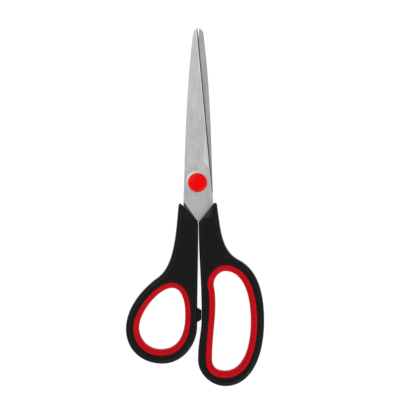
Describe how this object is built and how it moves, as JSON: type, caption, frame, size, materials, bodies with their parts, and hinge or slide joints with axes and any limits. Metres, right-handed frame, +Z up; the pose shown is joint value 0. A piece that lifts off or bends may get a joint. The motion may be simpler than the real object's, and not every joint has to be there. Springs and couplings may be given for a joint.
{
  "type": "office scissors",
  "caption": "Office scissors with pointed steel blades on one pivot, black moulded handles and soft red finger grips, a small bow and a large bow.",
  "frame": {"origin": "middle of the underside of the closed scissors as they lie flat", "axes": "+Y points to the blade tips, +X to the large bow, +Z up out of the surface that they lie on, along the pivot axis"},
  "size_m": [0.0812, 0.21, 0.0096],
  "materials": {
    "blade_steel": "fine satin ground steel, grain along the blade",
    "handle_plastic": "black moulded plastic with a satin face",
    "grip_rubber": "soft red moulded rubber",
    "pivot_steel": "plated steel",
    "washer_steel": "satin steel",
    "washer_nylon": "natural nylon",
    "cap_plastic": "glossy red moulded plastic"
  },
  "bodies": {
    "front": {"front_blade": "blade_steel", "large_bow_handle": "handle_plastic", "large_bow_grip": "grip_rubber", "pivot_bolt": "pivot_steel", "front_washer": "washer_steel", "rear_washer": "washer_nylon", "pivot_nut": "pivot_steel", "pivot_cap": "cap_plastic"},
    "rear": {"rear_blade": "blade_steel", "small_bow_handle": "handle_plastic", "small_bow_grip": "grip_rubber"}
  },
  "joints": [
    {"name": "blade_pivot", "type": "hinge", "parent": "front", "child": "rear", "pos_m": [0.00147, 0.0143, 0.0048], "axis": [0, 0, -1], "range_deg": [0, 100]}
  ]
}
